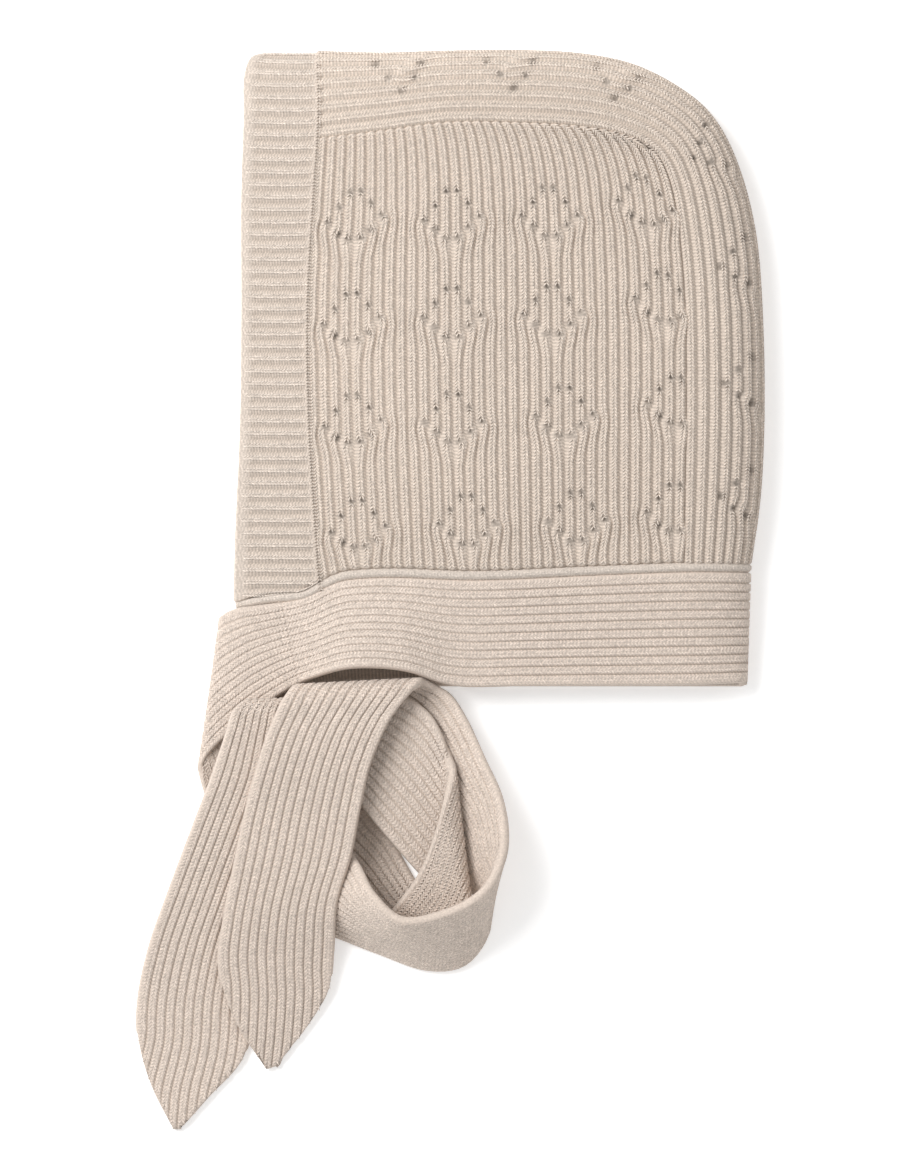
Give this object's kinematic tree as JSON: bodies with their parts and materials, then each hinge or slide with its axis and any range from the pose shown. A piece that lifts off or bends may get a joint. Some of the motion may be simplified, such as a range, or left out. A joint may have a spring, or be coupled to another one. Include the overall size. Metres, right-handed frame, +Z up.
{
  "type": "baby bonnet",
  "caption": "Fine wool rib-knit baby bonnet with leaf lace sides, lying on its side with its long knitted ties looped in front of the neck.",
  "frame": {"origin": "bottom centre of the whole lying bonnet with its ties, on the surface that it rests on", "axes": "+Z up from the surface, +Y from the ties' ends to the crown, +X from the face edge to the back of the head"},
  "size_m": [0.1934, 0.3332, 0.0273],
  "materials": {
    "panel_wool": "oatmeal wool in vertical rib with leaf lace",
    "band_wool": "oatmeal wool in cross rib",
    "strip_wool": "oatmeal wool in lengthwise rib"
  },
  "bodies": {
    "root": {"side_panel_near": "panel_wool", "side_panel_far": "panel_wool", "centre_panel": "panel_wool", "front_band": "band_wool", "neck_edge": "band_wool", "neckband": "strip_wool", "tie_near": "strip_wool", "tie_far": "strip_wool"}
  },
  "joints": []
}
